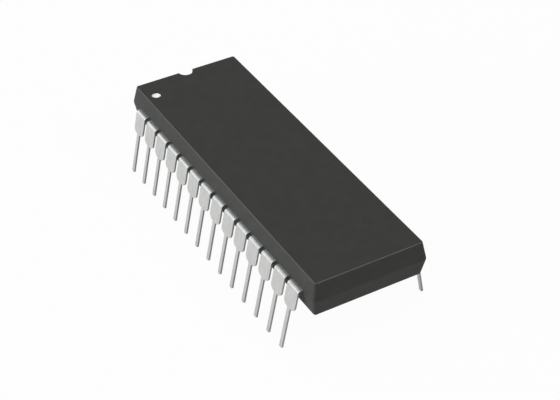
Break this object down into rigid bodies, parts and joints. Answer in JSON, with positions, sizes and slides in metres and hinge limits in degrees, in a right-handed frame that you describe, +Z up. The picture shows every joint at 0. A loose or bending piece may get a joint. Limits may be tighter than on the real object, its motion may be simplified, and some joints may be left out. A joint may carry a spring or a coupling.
{
  "type": "dual in-line integrated circuit",
  "caption": "Through-hole integrated circuit in a black moulded dual in-line package, notched and dotted at the lead 1 end, with rows of splayed plated leads.",
  "frame": {"origin": "middle of the part in plan, at the height of the lead tips that it stands on", "axes": "+X along the body, away from the notched end; +Y towards the row of leads 15 to 28; +Z up, out of the top face"},
  "size_m": [0.039, 0.0168, 0.0093],
  "materials": {
    "mould_compound": "fine matt moulded epoxy, slightly brighter along rounded edges",
    "tin_plate": "satin tin plate over a stamped copper alloy",
    "white_ink": "matt white ink",
    "copper_alloy": "bare rolled copper alloy",
    "silver_cement": "cured silver-filled cement",
    "silicon": "polished silicon",
    "gold_wire": "drawn gold"
  },
  "bodies": {
    "root": {"package_body": "mould_compound", "pin_1_dot": "white_ink", "die_pad": "copper_alloy", "die_cement": "silver_cement", "silicon_die": "silicon", "bond_wires": "gold_wire", "lead_01": "tin_plate", "lead_02": "tin_plate", "lead_03": "tin_plate", "lead_04": "tin_plate", "lead_05": "tin_plate", "lead_06": "tin_plate", "lead_07": "tin_plate", "lead_08": "tin_plate", "lead_09": "tin_plate", "lead_10": "tin_plate", "lead_11": "tin_plate", "lead_12": "tin_plate", "lead_13": "tin_plate", "lead_14": "tin_plate", "lead_15": "tin_plate", "lead_16": "tin_plate", "lead_17": "tin_plate", "lead_18": "tin_plate", "lead_19": "tin_plate", "lead_20": "tin_plate", "lead_21": "tin_plate", "lead_22": "tin_plate", "lead_23": "tin_plate", "lead_24": "tin_plate", "lead_25": "tin_plate", "lead_26": "tin_plate", "lead_27": "tin_plate", "lead_28": "tin_plate"}
  },
  "joints": []
}
